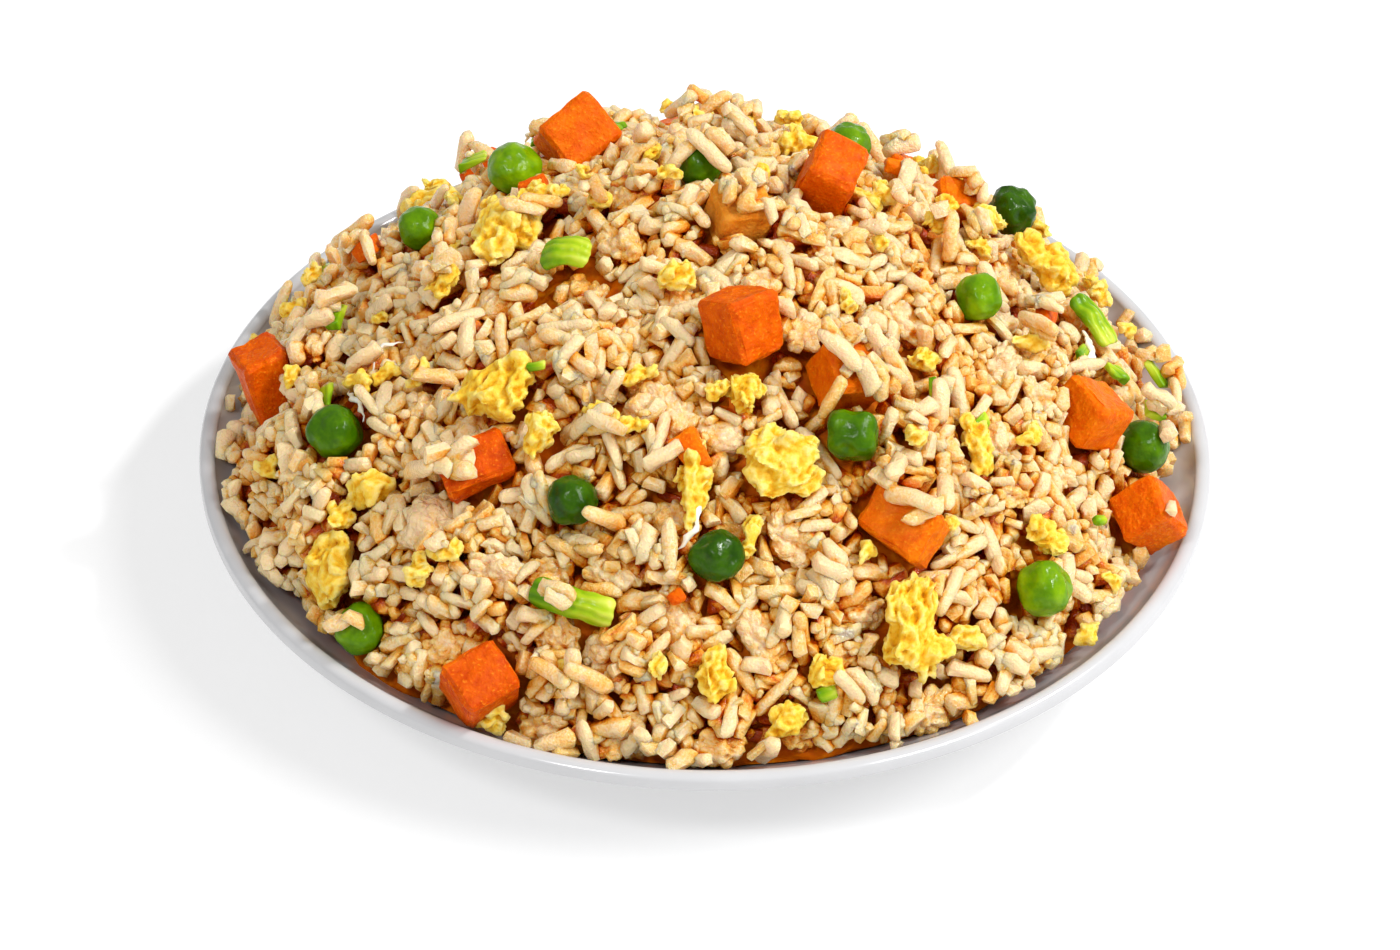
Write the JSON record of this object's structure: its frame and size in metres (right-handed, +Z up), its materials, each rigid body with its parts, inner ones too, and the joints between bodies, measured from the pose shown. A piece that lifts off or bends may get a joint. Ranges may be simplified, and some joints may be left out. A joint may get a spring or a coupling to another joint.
{
  "type": "fried rice plate",
  "caption": "Heaped serving of fried rice with green peas, diced carrot, scrambled egg and spring onion on a small round white plate.",
  "frame": {"origin": "on the table, under the centre of the round plate", "axes": "+Z up; +X to the eater's right; -Y towards the eater"},
  "size_m": [0.17, 0.17, 0.0763],
  "materials": {
    "plate": "white glaze",
    "rice": "moist and slightly oily",
    "pea": "glossy skin",
    "carrot": "moist cut faces",
    "egg": "moist curds",
    "onion": "waxy stalk"
  },
  "bodies": {
    "root": {"plate": "plate", "rice_heap": "rice", "pea_01": "pea", "pea_02": "pea", "pea_03": "pea", "pea_04": "pea", "pea_05": "pea", "pea_06": "pea", "pea_07": "pea", "pea_08": "pea", "pea_09": "pea", "pea_10": "pea", "pea_11": "pea", "pea_12": "pea", "pea_13": "pea", "pea_14": "pea", "pea_15": "pea", "pea_16": "pea", "pea_17": "pea", "carrot_01": "carrot", "carrot_02": "carrot", "carrot_03": "carrot", "carrot_04": "carrot", "carrot_05": "carrot", "carrot_06": "carrot", "carrot_07": "carrot", "carrot_08": "carrot", "carrot_09": "carrot", "carrot_10": "carrot", "carrot_11": "carrot", "carrot_12": "carrot", "carrot_13": "carrot", "carrot_14": "carrot", "carrot_15": "carrot", "egg_01": "egg", "egg_02": "egg", "egg_03": "egg", "egg_04": "egg", "egg_05": "egg", "egg_06": "egg", "egg_07": "egg", "egg_08": "egg", "egg_09": "egg", "egg_10": "egg", "egg_11": "egg", "egg_12": "egg", "egg_13": "egg", "egg_14": "egg", "egg_15": "egg", "egg_16": "egg", "egg_17": "egg", "egg_18": "egg", "egg_19": "egg", "egg_20": "egg", "onion_01": "onion", "onion_02": "onion", "onion_03": "onion", "onion_04": "onion"}
  },
  "joints": []
}
